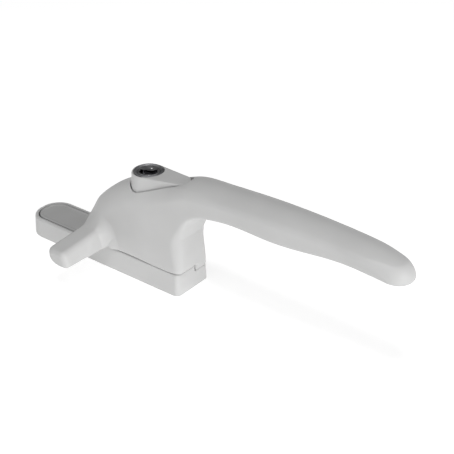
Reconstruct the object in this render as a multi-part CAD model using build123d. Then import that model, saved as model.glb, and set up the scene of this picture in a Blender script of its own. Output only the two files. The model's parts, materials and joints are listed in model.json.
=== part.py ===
from build123d import *
import math
import os

# Keyed cockspur window handle with a push button lock. Millimetres.
# Origin: pivot axis on the mounting face. +X along the closed lever, -Y along the nose,
# +Z away from the window frame.

ABOVE = 60.0                # a height clear above everything

# ---- base plate ---------------------------------------------------------------------------------
BASE_LENGTH = 76.0
BASE_WIDTH = 17.0
BASE_RIM_Z = 7.5            # top of the plate's left end
SEAT_Z = 8.3                # raised seat that the handle turns on
BASE_DRAFT = 3.3            # degrees
BASE_ROUND_END = 7.9        # corner radius, left end
BASE_SQUARE_END = 1.6       # corner radius, right end
SCREW_PITCH = 58.0
SCREW_HOLE_R = 2.3
SCREW_HEAD_R = 4.1
HEAD_CONE_Z = (2.8, 4.6)    # countersink, bottom and top
BOLT_HOLE_R = 2.8
CAP_RECESS_FLOOR = 4.6
CAP_RIM = 1.7               # rim left round the cap recess
CAP_RIGHT_X = -12.0         # straight right side of the cap recess
CAP_GAP = 0.35
CAP_TOP_Z = 7.6
CAP_LEG_X = (-34.0, -16.0)
CAP_LEG_Y = 3.4
CAP_LEG = (0.35, 0.7)       # half sizes
CAP_LEG_Z = 2.7
CAP_LEG_GAP = 0.3
POCKETS = ((-23.0, -10.5), (9.4, 14.6))
POCKET_WIDTH = 12.0
POCKET_DEPTH = 2.0

# ---- pivot --------------------------------------------------------------------------------------
PIVOT_R = 4.0
PIVOT_RUNNING = 0.05        # radial clearance of the pin in its bush
PIVOT_TOP_Z = 18.0
PIVOT_NECK_R = 3.0
PIVOT_END_Z = 0.7
BUSH_R = 5.4
BUSH_FLANGE_R = 7.2
BUSH_FLANGE_Z = (7.8, 8.35)
UNDER_RECESS_R = 6.2
UNDER_RECESS_Z = 3.9
STOP_EAR_R = 7.4
STOP_EAR_HALF = 12.0        # degrees each side of the ear's middle
TURN_LIMIT = 90.0
STOP_SLACK = 1.5            # degrees
STOP_WASHER_Z = (2.0, 2.9)
CLIP_GROOVE_Z = (1.3, 1.9)
CLIP_GROOVE_R = 2.2
CLIP_OUTER_R = 4.6
CLIP_MOUTH_HALF = 1.7
NECK_HALF = 2.5             # half width across the neck's flats
DISC_SPRING_R = (4.3, 5.9)
DISC_SPRING_Z = (2.95, 3.35, 3.8)

# ---- handle casting -----------------------------------------------------------------------------
HANDLE_Z = 8.5              # underside of the boss
HALF_WIDTH = 8.2
BOSS_END_X = 37.4
TIP_X = 121.5
TIP_START_X = 114.5         # where the lever's end starts to round off
TIP_HALF = 6.6
NOSE_TIP_Y = -29.4
NOSE_HALF = 5.0
NOSE_Z = (9.3, 14.6)
NOSE_STEP_Y = -9.0          # the underside rises from the boss's level to the nose's here
NOSE_ROOT_TOP_Z = 21.0
NOSE_ROOT_Y = -7.6
NOSE_FLARE = 6.0
NOSE_TAPER = 0.4
NOSE_TIP_ROUND = 1.3
TOP_ROUND = 3.6
UNDER_ROUND = 1.2
RIM_SPLIT_Z = 36.5          # between the lever's lower and upper long edges
LUG_Z = 6.2                 # stop lug on the far half of the boss's right end
LUG_X = 34.3
LUG_Y = 1.6
LUG_SLACK = 0.25

# ---- lock ---------------------------------------------------------------------------------------
LOCK_X = 19.0
BUTTON_TOP_Z = 40.0
BUTTON_R = 5.95
BUTTON_TAIL_R = 3.8
BUTTON_TAIL_X = 32.9
BUTTON_TAIL_TOP_Z = 40.9    # top of the button at its tail
BUTTON_RISE_X = 20.0        # where its top starts to rise to the tail
BUTTON_SKIRT_Z = 30.0
BUTTON_TAIL_Z = 36.4
PRESS = 4.0
WELL_GAP = 0.3
BARREL_R = 5.0
RING_R = 5.25               # trim ring, set into the button's top
RING_GAP = 0.2
BARREL_Z = (18.6, 40.0)
RING_BOTTOM_Z = 39.2
BARREL_BORE_GAP = 0.3
PLUG_R = 4.0
PLUG_RUNNING = 0.05
PLUG_Z = (22.4, 40.1)
PLATE_Z = (8.9, 10.2)       # guide plate let into the boss's underside
BOLT_R = 2.4
BOLT_Z = (8.8, 22.0)
SPRING_WIRE_R = 0.3
SPRING_R = 3.4
CATCH_Z = (20.0, 21.9)
CATCH_HALF_Y = 1.6
CATCH_THROW = 1.2
GUIDE_PIN_Z = 22.2
GUIDE_PIN_R = 0.9
GUIDE_PIN_TIP = 4.6         # Y of the pin's inner end
GUIDE_PIN_LENGTH = 3.6
PLATE_X = (8.6, 32.4)
PLATE_WIDTH = 11.0
PLATE_SCREW_X = (11.6, 28.6)
PLATE_SCREW_R = 1.0
PLATE_SCREW_DEPTH = 4.0
CROSS_PIN_Z = 19.9
CROSS_PIN_R = 0.6
CLIP_Z = (29.2, 29.9)
WAFER_COUNT = 5
WAFER_PITCH = 2.4
WAFER_THICK = 0.8
WAFER_HALF_X = 2.3
KEYWAY_TURN = -57.0         # degrees; how the keyway lies while the lock is locked
# warded keyway, half its outline at a time: (across, along)
KEYWAY_LEFT = ((-0.95, -3.0), (-0.95, -0.6), (-0.5, -0.6), (-0.5, 1.6), (-0.95, 1.6), (-0.95, 3.0))
KEYWAY_RIGHT = ((0.4, 3.0), (0.4, 0.9), (0.95, 0.9), (0.95, -1.2), (0.55, -1.2), (0.55, -3.0))
KEYWAY_FLOOR = 1.5          # metal left under the keyway
FACE_DISH_R = (2.0, 3.6)    # shallow dish in the plug's face, bottom and top radius
FACE_DISH_DEPTH = 0.35
KEY_POCKET = (1.2, 3.0, 1.15)    # mouth of the keyway: off centre, half its length, half its width
KEY_POCKET_DEPTH = 3.0
KEY_POCKET_EDGE = 0.2
INDEX_DIMPLE = (-1.95, 0.65)     # where the plug's index mark is
INDEX_DIMPLE_R = 0.55
INDEX_DIMPLE_DEPTH = 0.3


def cylinder(r, z0, z1, x=0.0, y=0.0):
    """Upright cylinder between two heights."""
    return Pos(x, y, (z0 + z1) / 2) * Cylinder(r, z1 - z0)


def cone(r0, r1, z0, z1, x=0.0, y=0.0):
    """Upright cone frustum, radius r0 at z0 and r1 at z1."""
    return Pos(x, y, (z0 + z1) / 2) * Cone(r0, r1, z1 - z0)


def block(x0, x1, y0, y1, z0, z1):
    """Box between two corners."""
    return Pos((x0 + x1) / 2, (y0 + y1) / 2, (z0 + z1) / 2) * Box(x1 - x0, y1 - y0, z1 - z0)


def prism(face, z0, z1, taper=0.0):
    """Flat outline pulled up between two heights."""
    return extrude(Pos(0, 0, z0) * face, z1 - z0, taper=taper)


def sector(r, start, end, z0, z1):
    """Pie slice about the pivot, angles in degrees."""
    reach = 3 * r
    steps = [math.radians(start + (end - start) * i / 3) for i in range(4)]
    corners = [(0, 0)] + [(reach * math.cos(a), reach * math.sin(a)) for a in steps]
    return cylinder(r, z0, z1) & prism(make_face(Polyline(*corners, close=True)), z0, z1)


# ---- base plate ---------------------------------------------------------------------------------
def base_outline(inset=0.0):
    """Plan of the base plate: nearly round at the left, small corners at the right."""
    half_l = BASE_LENGTH / 2 - inset
    half_w = BASE_WIDTH / 2 - inset
    plan = Rectangle(2 * half_l, 2 * half_w)
    left = plan.vertices().filter_by_position(Axis.X, -half_l - 1, -half_l + 1)
    plan = fillet(left, BASE_ROUND_END - inset)
    right = plan.vertices().filter_by_position(Axis.X, half_l - 1, half_l + 1)
    return fillet(right, max(BASE_SQUARE_END - inset, 0.4))


def cap_outline(inset=0.0):
    """D-shaped plan of the screw cap or, with no inset, of its recess."""
    wide = base_outline(CAP_RIM + inset)
    keep = Pos(CAP_RIGHT_X - inset - 40, 0) * Rectangle(80, 40)
    plan = wide & keep
    return fillet(plan.vertices().group_by(Axis.X)[-1], 1.2)


def make_base_plate():
    body = prism(base_outline(), 0, SEAT_Z, taper=BASE_DRAFT)
    seat = Circle(BASE_WIDTH / 2 - 0.1) + Pos(25, 0) * Rectangle(50, 40)
    body -= prism(Rectangle(200, 60) - seat, BASE_RIM_Z, SEAT_Z + 1)
    body -= prism(cap_outline(), CAP_RECESS_FLOOR, SEAT_Z + 1)
    for side in (-1, 1):
        x = side * SCREW_PITCH / 2
        body -= cylinder(SCREW_HOLE_R, -1, SEAT_Z + 1, x)
        body -= cone(SCREW_HOLE_R, SCREW_HEAD_R, HEAD_CONE_Z[0], HEAD_CONE_Z[1], x)
        body -= cylinder(SCREW_HEAD_R, HEAD_CONE_Z[1], SEAT_Z + 1, x)
    body -= cylinder(BOLT_HOLE_R, -1, SEAT_Z + 1, LOCK_X)
    body -= cylinder(BUSH_R, -1, SEAT_Z + 1)
    body -= cylinder(BUSH_FLANGE_R, BUSH_FLANGE_Z[0], SEAT_Z + 1)
    body -= cylinder(UNDER_RECESS_R, -1, UNDER_RECESS_Z)
    first = -STOP_EAR_HALF - STOP_SLACK
    last = TURN_LIMIT + STOP_EAR_HALF + STOP_SLACK
    body -= sector(STOP_EAR_R + 0.2, first, last, -1, UNDER_RECESS_Z)
    notch = block(20, ABOVE, LUG_Y - LUG_SLACK, 20, LUG_Z - LUG_SLACK, 20)
    body -= notch - cylinder(LUG_X - LUG_SLACK, 0, 30)
    for place in cap_leg_places():
        body -= leg_block(place, CAP_LEG_GAP, CAP_LEG_Z - CAP_LEG_GAP, CAP_RECESS_FLOOR + 1)
    for x0, x1 in POCKETS:
        pocket = Pos((x0 + x1) / 2, 0) * RectangleRounded(x1 - x0, POCKET_WIDTH, 1.2)
        body -= prism(pocket, -1, POCKET_DEPTH)
    return body


def make_screw_cap():
    """Snap-in cover over the left screw, with four short legs."""
    shell = prism(cap_outline(CAP_GAP), CAP_RECESS_FLOOR + 0.1, CAP_TOP_Z)
    top_edges = shell.faces().sort_by(Axis.Z)[-1].edges()
    shell = fillet(top_edges, 0.6)
    shell -= cylinder(SCREW_HEAD_R + 0.4, 0, CAP_TOP_Z - 1.2, -SCREW_PITCH / 2)
    for place in cap_leg_places():
        shell += leg_block(place, 0, CAP_LEG_Z, CAP_RECESS_FLOOR + 0.5)
    return shell


def leg_block(place, gap, z0, z1):
    """One leg of the cap or, grown by the gap, its hole."""
    x, y = place
    half_x, half_y = (half + gap for half in CAP_LEG)
    return block(x - half_x, x + half_x, y - half_y, y + half_y, z0, z1)


def cap_leg_places():
    """Centres of the cap's four legs."""
    return [(x, side * CAP_LEG_Y) for x in CAP_LEG_X for side in (-1, 1)]


def make_pivot_bush():
    """Flanged acetal bush pressed into the base plate."""
    bush = cylinder(BUSH_R, UNDER_RECESS_Z, BUSH_FLANGE_Z[0])
    bush += cylinder(BUSH_FLANGE_R - 0.05, BUSH_FLANGE_Z[0], BUSH_FLANGE_Z[1])
    return bush - cylinder(PIVOT_R + PIVOT_RUNNING, 0, 20)


def make_pivot_pin():
    """Stud pressed into the handle, with a flatted neck and a clip groove below."""
    pin = cylinder(PIVOT_R, DISC_SPRING_Z[0], PIVOT_TOP_Z)
    neck = cylinder(PIVOT_NECK_R, PIVOT_END_Z, DISC_SPRING_Z[0])
    neck &= block(-NECK_HALF, NECK_HALF, -5, 5, 0, 5)
    low, high = CLIP_GROOVE_Z
    groove = cylinder(5, low, high) - cylinder(CLIP_GROOVE_R, low - 0.3, high + 0.3)
    return pin + (neck - groove)


def make_stop_washer():
    """Washer keyed to the pin's flats. Its ear runs in the base and ends the turn."""
    low, high = STOP_WASHER_Z
    disc = cylinder(UNDER_RECESS_R - 0.3, low, high)
    disc += sector(STOP_EAR_R, -STOP_EAR_HALF, STOP_EAR_HALF, low, high)
    half = NECK_HALF + 0.02
    slot = cylinder(PIVOT_NECK_R + 0.02, 0, 5) & block(-half, half, -5, 5, 0, 5)
    return disc - slot


def make_disc_spring():
    """Conical spring washer that presses the handle down on its seat."""
    inner, outer = DISC_SPRING_R
    low, middle, high = DISC_SPRING_Z
    section = Polyline((inner, middle), (outer, low), (outer, middle), (inner, high), close=True)
    return revolve(make_face(Plane.XZ * section), Axis.Z)


def make_retaining_clip():
    """E-shaped clip in the pin's groove."""
    low, high = CLIP_GROOVE_Z
    ring = cylinder(CLIP_OUTER_R, low + 0.05, high - 0.05) - cylinder(CLIP_GROOVE_R + 0.05, 1, 2)
    mouth = block(0, 6, -CLIP_MOUTH_HALF, CLIP_MOUTH_HALF, 1, 2)
    return ring - mouth


# ---- handle casting -----------------------------------------------------------------------------
def side_profile():
    """Side view: boss, cranked lever and finger hollow, as a closed XZ outline."""
    crest = [(-8.4, HANDLE_Z), (-6.6, 19.5), (4.0, 29.4), (24.0, 39.0),
             (48.0, 43.2), (78.0, 43.8), (104.0, 42.2), (TIP_X + 1, 39.4)]
    under = [(TIP_X + 1, 34.2), (113.0, 34.5), (99.0, 35.8), (76.0, 34.2), (62.0, 34.9), (48.0, 33.2),
             (BOSS_END_X, 23.0)]
    back = Line(crest[-1], under[0])
    end = Polyline(under[-1], (BOSS_END_X, HANDLE_Z), crest[0])
    return make_face([Spline(*crest), back, Spline(*under)] + end.edges())


def plan_profile():
    """Top view: round about the pivot, parallel along the boss, tapering to a round tip."""
    straight = Line((0, HALF_WIDTH), (40.0, HALF_WIDTH))
    flank = Spline(straight @ 1, (80.0, 7.7), (TIP_START_X, TIP_HALF), tangents=((1, 0), (1, -0.12)))
    tip = ThreePointArc(flank @ 1, (TIP_X, 0), (TIP_START_X, -TIP_HALF))
    round_end = ThreePointArc((0, HALF_WIDTH), (-HALF_WIDTH, 0), (0, -HALF_WIDTH))
    return make_face([straight, flank, tip, mirror(flank, Plane.XZ), mirror(straight, Plane.XZ), round_end])


def nose_plan():
    """Top view of the nose: nearly parallel, flaring into the boss more on the lever's side."""
    half = NOSE_HALF
    tip = half - NOSE_TAPER
    left = Line((-tip, NOSE_TIP_Y), (-half, NOSE_ROOT_Y - NOSE_FLARE))
    left_curve = Spline(left @ 1, (-HALF_WIDTH + 0.5, -3.0), tangents=((0, 1), (-0.1, 1)))
    right = Line((tip, NOSE_TIP_Y), (half, NOSE_ROOT_Y - NOSE_FLARE))
    right_curve = RadiusArc(right @ 1, (half + NOSE_FLARE, NOSE_ROOT_Y), NOSE_FLARE)
    back = Line(right_curve @ 1, left_curve @ 1)
    front = Line(left @ 0, right @ 0)
    return make_face([left, left_curve, right, right_curve, back, front])


def nose_side():
    """Side view of the nose in YZ: flat below, its top sweeping up into the boss."""
    low, high = NOSE_Z
    hump = Spline((NOSE_TIP_Y, high - 0.4), (NOSE_ROOT_Y - NOSE_FLARE, high + 1.0),
                  (NOSE_ROOT_Y, NOSE_ROOT_TOP_Z), tangents=((1, 0.03), (0.3, 1)))
    rest = Polyline((NOSE_ROOT_Y, NOSE_ROOT_TOP_Z), (-3.0, NOSE_ROOT_TOP_Z), (-3.0, HANDLE_Z),
                    (NOSE_STEP_Y, HANDLE_Z), (NOSE_STEP_Y - 0.5, low), (NOSE_TIP_Y, low),
                    (NOSE_TIP_Y, high - 0.4))
    return make_face([hump] + rest.edges())


def make_nose():
    """Cockspur nose that closes over the window frame."""
    nose = extrude(nose_plan(), 40) & extrude(Plane.YZ * nose_side(), 20, both=True)
    tip_edges = nose.edges().group_by(Axis.Y)[0]
    return fillet(tip_edges, NOSE_TIP_ROUND)


def teardrop(grow=0.0):
    """Plan of the push button: a circle about the lock with a narrower round tail."""
    big = BUTTON_R + grow
    small = BUTTON_TAIL_R + grow
    gap = BUTTON_TAIL_X - LOCK_X
    lean = math.asin((big - small) / gap)
    across = math.sin(lean)
    along = math.cos(lean)
    corners = [(LOCK_X + big * across, big * along), (BUTTON_TAIL_X + small * across, small * along),
               (BUTTON_TAIL_X + small * across, -small * along), (LOCK_X + big * across, -big * along)]
    web = make_face(Polyline(*corners, close=True))
    return web + Pos(LOCK_X, 0) * Circle(big) + Pos(BUTTON_TAIL_X, 0) * Circle(small)


def lever_rim(body, above):
    """Long edges of the casting: the boss's and lever's upper ones, or the lever's lower ones."""
    rim = []
    for edge in body.edges():
        start, middle, finish = edge @ 0, edge @ 0.5, edge @ 1
        level = abs(start.Z - finish.Z) + abs(start.X - finish.X) > 2 and abs(start.X - finish.X) > 0.3
        upper = middle.Z > RIM_SPLIT_Z and middle.X > 5
        lower = middle.Z < RIM_SPLIT_Z and middle.X > 45
        wanted = upper if above else lower
        if edge.length > 8 and level and wanted and abs(middle.Y) > 1:
            rim.append(edge)
    return rim


def make_handle_lever():
    """One casting: boss, nose and lever, bored for the pivot and the lock."""
    body = extrude(Plane.XZ * side_profile(), 12, both=True) & extrude(plan_profile(), ABOVE)
    body = fillet(lever_rim(body, True), TOP_ROUND)
    body = fillet(lever_rim(body, False), UNDER_ROUND)
    body += make_nose()
    body += block(LUG_X, BOSS_END_X, LUG_Y, HALF_WIDTH - 0.6, LUG_Z, HANDLE_Z + 1)
    body -= cylinder(PIVOT_R, 0, PIVOT_TOP_Z)
    body -= prism(teardrop(WELL_GAP), BUTTON_TAIL_Z - PRESS - 0.4, ABOVE)
    body -= cylinder(BUTTON_R + WELL_GAP, BUTTON_SKIRT_Z - PRESS - 0.4, ABOVE, LOCK_X)
    body -= cylinder(BARREL_R + BARREL_BORE_GAP, PLATE_Z[1], ABOVE, LOCK_X)
    body -= prism(guide_plate_outline(), 0, PLATE_Z[1])
    for x in PLATE_SCREW_X:
        body -= cylinder(PLATE_SCREW_R, 0, PLATE_Z[1] + PLATE_SCREW_DEPTH, x)
    body -= cylinder(GUIDE_PIN_R, -12, 12).rotate(Axis.X, 90).moved(Pos(LOCK_X, 12 + 4, GUIDE_PIN_Z))
    return body - catch_recess()


def catch_recess():
    """Sloping pocket beside the barrel bore that the snap catch slides out into."""
    x = LOCK_X - BARREL_R
    drop = Polyline((x + 1, CATCH_Z[0] - PRESS - 0.4), (x - CATCH_THROW - 0.4, CATCH_Z[0] - PRESS - 0.4),
                    (x - CATCH_THROW - 0.4, CATCH_Z[1] - PRESS + 0.5), (x - 0.1, CATCH_Z[1] + 0.5),
                    (x + 1, CATCH_Z[1] + 0.5), close=True)
    return extrude(Plane.XZ * make_face(drop), CATCH_HALF_Y + 0.3, both=True)


# ---- guide plate under the boss -----------------------------------------------------------------
def guide_plate_outline(inset=0.0):
    """Long plate with round ends that closes the bore and guides the bolt."""
    middle = (PLATE_X[0] + PLATE_X[1]) / 2
    plan = SlotOverall(PLATE_X[1] - PLATE_X[0] - 2 * inset, PLATE_WIDTH - 2 * inset)
    return Pos(middle, 0) * plan


def make_guide_plate():
    plate = prism(guide_plate_outline(0.05), PLATE_Z[0], PLATE_Z[1])
    plate -= cylinder(BOLT_R + 0.08, 0, 20, LOCK_X)
    for x in PLATE_SCREW_X:
        plate -= cylinder(PLATE_SCREW_R + 0.1, 0, 20, x)
        plate -= cone(2.0, PLATE_SCREW_R + 0.1, PLATE_Z[0], PLATE_Z[0] + 0.7, x)
    return plate


def make_plate_screws():
    """Two countersunk screws that hold the guide plate."""
    screws = []
    for x in PLATE_SCREW_X:
        screw = cone(1.95, PLATE_SCREW_R, PLATE_Z[0], PLATE_Z[0] + 0.7, x)
        screw += cylinder(PLATE_SCREW_R, PLATE_Z[0] + 0.7, PLATE_Z[1] + PLATE_SCREW_DEPTH - 0.5, x)
        for turn in (0, 90):
            slot = Pos(x, 0, PLATE_Z[0]) * Rot(0, 0, turn) * Box(2.2, 0.4, 0.8)
            screw -= slot
        screws.append(screw)
    return Compound(screws)


def make_return_spring():
    """Compression coil round the bolt, from the guide plate to the barrel."""
    low = PLATE_Z[1] + SPRING_WIRE_R
    high = BARREL_Z[0] - SPRING_WIRE_R - 0.02
    coil = Helix((high - low) / 5, high - low, SPRING_R)
    path = Pos(LOCK_X, 0, low) * coil
    profile = Plane(origin=path @ 0, z_dir=path % 0) * Circle(SPRING_WIRE_R)
    return sweep(profile, path=path)


def make_guide_pin():
    """Cross pin in the boss. It runs in the barrel's groove, stops the button and keeps it square."""
    pin = Cylinder(GUIDE_PIN_R, GUIDE_PIN_LENGTH).rotate(Axis.X, 90)
    return Pos(LOCK_X, GUIDE_PIN_TIP + GUIDE_PIN_LENGTH / 2, GUIDE_PIN_Z) * pin


# ---- button group -------------------------------------------------------------------------------
def make_push_button():
    left = LOCK_X - BUTTON_R - 1
    right = BUTTON_TAIL_X + BUTTON_TAIL_R + 1
    side = Polyline((left, BUTTON_TAIL_Z), (left, BUTTON_TOP_Z), (BUTTON_RISE_X, BUTTON_TOP_Z),
                    (right, BUTTON_TAIL_TOP_Z), (right, BUTTON_TAIL_Z), close=True)
    button = prism(teardrop(), BUTTON_TAIL_Z, ABOVE) & extrude(Plane.XZ * make_face(side), 10, both=True)
    button += cylinder(BUTTON_R, BUTTON_SKIRT_Z, BUTTON_TAIL_Z + 0.5, LOCK_X)
    button -= cylinder(RING_R + RING_GAP, RING_BOTTOM_Z, ABOVE, LOCK_X)
    return button - cylinder(BARREL_R, 0, ABOVE, LOCK_X)


def make_lock_barrel():
    """Cylinder body: bored for the plug, grooved for the guide pin, slotted for the catch."""
    barrel = cylinder(BARREL_R, BARREL_Z[0], RING_BOTTOM_Z, LOCK_X)
    barrel -= cylinder(PLUG_R + PLUG_RUNNING, PLUG_Z[0] - 0.3, ABOVE, LOCK_X)
    barrel -= cylinder(BOLT_R, 0, PLUG_Z[0], LOCK_X)
    barrel -= Pos(LOCK_X, 0, CROSS_PIN_Z) * Cylinder(CROSS_PIN_R, 20).rotate(Axis.X, 90)
    groove = (GUIDE_PIN_Z - GUIDE_PIN_R - 0.2, GUIDE_PIN_Z + PRESS + GUIDE_PIN_R + 0.2)
    groove_half = GUIDE_PIN_R + 0.1
    barrel -= block(LOCK_X - groove_half, LOCK_X + groove_half, GUIDE_PIN_TIP - 0.2, 8,
                    groove[0], groove[1])
    slot_gap = 0.08
    barrel -= block(LOCK_X - 8, LOCK_X - BOLT_R - 0.2, -CATCH_HALF_Y - slot_gap, CATCH_HALF_Y + slot_gap,
                    CATCH_Z[0] - slot_gap, CATCH_Z[1] + slot_gap)
    clip = cylinder(BARREL_R + 1, CLIP_Z[0], CLIP_Z[1], LOCK_X) - cylinder(BARREL_R - 0.6, 0, ABOVE, LOCK_X)
    return barrel - clip


def make_trim_ring():
    """Chromed dished rim on the barrel's top, round the plug."""
    bore = PLUG_R + PLUG_RUNNING
    lip = ThreePointArc((RING_R, BARREL_Z[1] + 0.05), (RING_R - 0.15, BARREL_Z[1] + 0.25),
                        (RING_R - 0.45, BARREL_Z[1] + 0.3))
    dish = Line(lip @ 1, (bore, BARREL_Z[1] - 0.2))
    rest = Polyline(dish @ 1, (bore, RING_BOTTOM_Z), (RING_R, RING_BOTTOM_Z), lip @ 0)
    section = make_face([lip, dish] + rest.edges())
    return Pos(LOCK_X, 0) * revolve(Plane.XZ * section, Axis.Z)


def make_barrel_clip():
    """Spring ring under the button's skirt that keeps the button on the barrel."""
    ring = cylinder(BARREL_R + 0.25, CLIP_Z[0] + 0.05, CLIP_Z[1] - 0.05, LOCK_X)
    ring -= cylinder(BARREL_R - 0.55, 0, ABOVE, LOCK_X)
    return ring - block(LOCK_X + 2, LOCK_X + 9, -1.5, 1.5, 0, ABOVE)


def make_locking_bolt():
    """Steel bolt that drops into the base plate when the button is pressed."""
    bolt = cylinder(BOLT_R, BOLT_Z[0], BOLT_Z[1], LOCK_X)
    tip = bolt.edges().filter_by(GeomType.CIRCLE).sort_by(Axis.Z)[0]
    bolt = chamfer(tip, 0.5)
    cross = Pos(LOCK_X, 0, CROSS_PIN_Z) * Cylinder(CROSS_PIN_R, 20).rotate(Axis.X, 90)
    return bolt - cross


def make_cross_pin():
    """Pin that ties the bolt to the barrel."""
    return Pos(LOCK_X, 0, CROSS_PIN_Z) * Cylinder(CROSS_PIN_R, 2 * BARREL_R - 0.8).rotate(Axis.X, 90)


# ---- key plug -----------------------------------------------------------------------------------
def wafer_levels():
    """Heights of the wafer slots along the plug."""
    return [PLUG_Z[0] + 3.0 + WAFER_PITCH * i for i in range(WAFER_COUNT)]


def turned(shape):
    """The shape turned about the lock's axis to the locked key's direction."""
    return Pos(LOCK_X, 0) * Rot(0, 0, KEYWAY_TURN) * Pos(-LOCK_X, 0) * shape


def key_mouth():
    """Wider mouth that the key goes in by, with a shallow step round its rim."""
    off, half_length, half_width = KEY_POCKET
    place = Pos(LOCK_X + off, 0) * Rot(0, 0, 90)
    face_z = PLUG_Z[1] - FACE_DISH_DEPTH
    mouth = prism(place * SlotOverall(2 * half_length, 2 * half_width), PLUG_Z[1] - KEY_POCKET_DEPTH, ABOVE)
    wide = place * SlotOverall(2 * (half_length + KEY_POCKET_EDGE), 2 * (half_width + KEY_POCKET_EDGE))
    return mouth + prism(wide, face_z - KEY_POCKET_EDGE, ABOVE)


def index_dimple():
    """Ball-ended sinking that marks which way the plug stands."""
    ball_r = (INDEX_DIMPLE_R ** 2 + INDEX_DIMPLE_DEPTH ** 2) / (2 * INDEX_DIMPLE_DEPTH)
    face_z = PLUG_Z[1] - FACE_DISH_DEPTH
    x, y = INDEX_DIMPLE
    return Pos(LOCK_X + x, y, face_z + ball_r - INDEX_DIMPLE_DEPTH) * Sphere(ball_r)


def make_key_plug():
    """Turning core with its dished face, warded keyway, wafer slots and clip groove."""
    plug = cylinder(PLUG_R, PLUG_Z[0], PLUG_Z[1], LOCK_X)
    plug = chamfer(plug.faces().sort_by(Axis.Z)[-1].edges(), 0.2)
    plug -= cone(FACE_DISH_R[0], FACE_DISH_R[1], PLUG_Z[1] - FACE_DISH_DEPTH, PLUG_Z[1], LOCK_X)
    outline = make_face(Polyline(*KEYWAY_LEFT, *KEYWAY_RIGHT, close=True))
    plug -= prism(Pos(LOCK_X, 0) * outline, PLUG_Z[0] + KEYWAY_FLOOR, ABOVE)
    plug -= key_mouth() + index_dimple()
    for z in wafer_levels():
        plug -= block(LOCK_X - WAFER_HALF_X - 0.05, LOCK_X + WAFER_HALF_X + 0.05, -5, 5,
                      z - 0.05, z + WAFER_THICK + 0.05)
    keep = cylinder(PLUG_R - 0.5, PLUG_Z[0] - 1, PLUG_Z[0] + 1.2, LOCK_X)
    low = cylinder(PLUG_R + 1, PLUG_Z[0] + 0.5, PLUG_Z[0] + 1.0, LOCK_X) - keep
    return turned(plug - low)


def make_plug_wafers():
    """Brass wafers, each with a window for the key."""
    wafers = []
    for z in wafer_levels():
        wafer = block(LOCK_X - WAFER_HALF_X, LOCK_X + WAFER_HALF_X, -3.1, 3.0, z, z + WAFER_THICK)
        wafer -= block(LOCK_X - 1.1, LOCK_X + 1.1, -2.4, 2.4, z - 1, z + 2)
        wafers.append(wafer)
    return turned(Compound(wafers))


def make_wafer_springs():
    """Leaf springs beside the wafers, one to each."""
    leaves = []
    for z in wafer_levels():
        leaf = block(LOCK_X - 1.6, LOCK_X + 1.6, 3.02, 3.35, z + 0.1, z + WAFER_THICK - 0.1)
        leaves.append(leaf)
    return turned(Compound(leaves))


def make_plug_clip():
    """Snap ring in the plug's lower groove."""
    ring = cylinder(PLUG_R - 0.05, PLUG_Z[0] + 0.55, PLUG_Z[0] + 0.95, LOCK_X)
    ring -= cylinder(PLUG_R - 0.5, 0, ABOVE, LOCK_X)
    return ring - block(LOCK_X, LOCK_X + 5, -1, 1, 0, ABOVE)


# ---- snap catch ---------------------------------------------------------------------------------
def make_snap_catch():
    """Sliding catch in the barrel with a sloping nose."""
    x0 = LOCK_X - BARREL_R + 0.15
    x1 = LOCK_X - BOLT_R - 0.5
    catch = block(x0, x1, -CATCH_HALF_Y, CATCH_HALF_Y, CATCH_Z[0], CATCH_Z[1])
    edge = catch.edges().filter_by(Axis.Y).sort_by(lambda e: e.center().X + e.center().Z)[0]
    return chamfer(edge, 0.7)


PARTS = {
    "base_plate": make_base_plate,
    "screw_cap": make_screw_cap,
    "pivot_bush": make_pivot_bush,
    "pivot_pin": make_pivot_pin,
    "stop_washer": make_stop_washer,
    "disc_spring": make_disc_spring,
    "retaining_clip": make_retaining_clip,
    "handle_lever": make_handle_lever,
    "guide_plate": make_guide_plate,
    "plate_screws": make_plate_screws,
    "return_spring": make_return_spring,
    "guide_pin": make_guide_pin,
    "push_button": make_push_button,
    "lock_barrel": make_lock_barrel,
    "trim_ring": make_trim_ring,
    "barrel_clip": make_barrel_clip,
    "locking_bolt": make_locking_bolt,
    "cross_pin": make_cross_pin,
    "key_plug": make_key_plug,
    "plug_wafers": make_plug_wafers,
    "wafer_springs": make_wafer_springs,
    "plug_clip": make_plug_clip,
    "snap_catch": make_snap_catch,
}


def main():
    os.makedirs("parts", exist_ok=True)
    for name, make in PARTS.items():
        export_step(make(), f"parts/{name}.step")


main()
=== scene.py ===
import json
import math

import bpy
import numpy as np
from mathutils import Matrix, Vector


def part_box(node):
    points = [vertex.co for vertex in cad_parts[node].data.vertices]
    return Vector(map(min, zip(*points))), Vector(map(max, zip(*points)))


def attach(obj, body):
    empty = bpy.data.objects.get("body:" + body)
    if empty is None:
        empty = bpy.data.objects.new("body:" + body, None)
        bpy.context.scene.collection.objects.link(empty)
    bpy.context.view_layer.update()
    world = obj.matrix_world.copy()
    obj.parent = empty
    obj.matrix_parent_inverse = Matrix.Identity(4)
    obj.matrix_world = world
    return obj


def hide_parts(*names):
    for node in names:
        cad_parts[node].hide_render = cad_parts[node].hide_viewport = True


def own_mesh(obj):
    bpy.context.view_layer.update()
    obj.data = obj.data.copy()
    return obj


# A keyed cockspur window handle. Shapes below are worked out in millimetres in the CAD's own frame:
# origin on the pivot axis at the mounting face, +X along the lever, -Y along the nose, +Z out.
MM = 0.001

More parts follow.
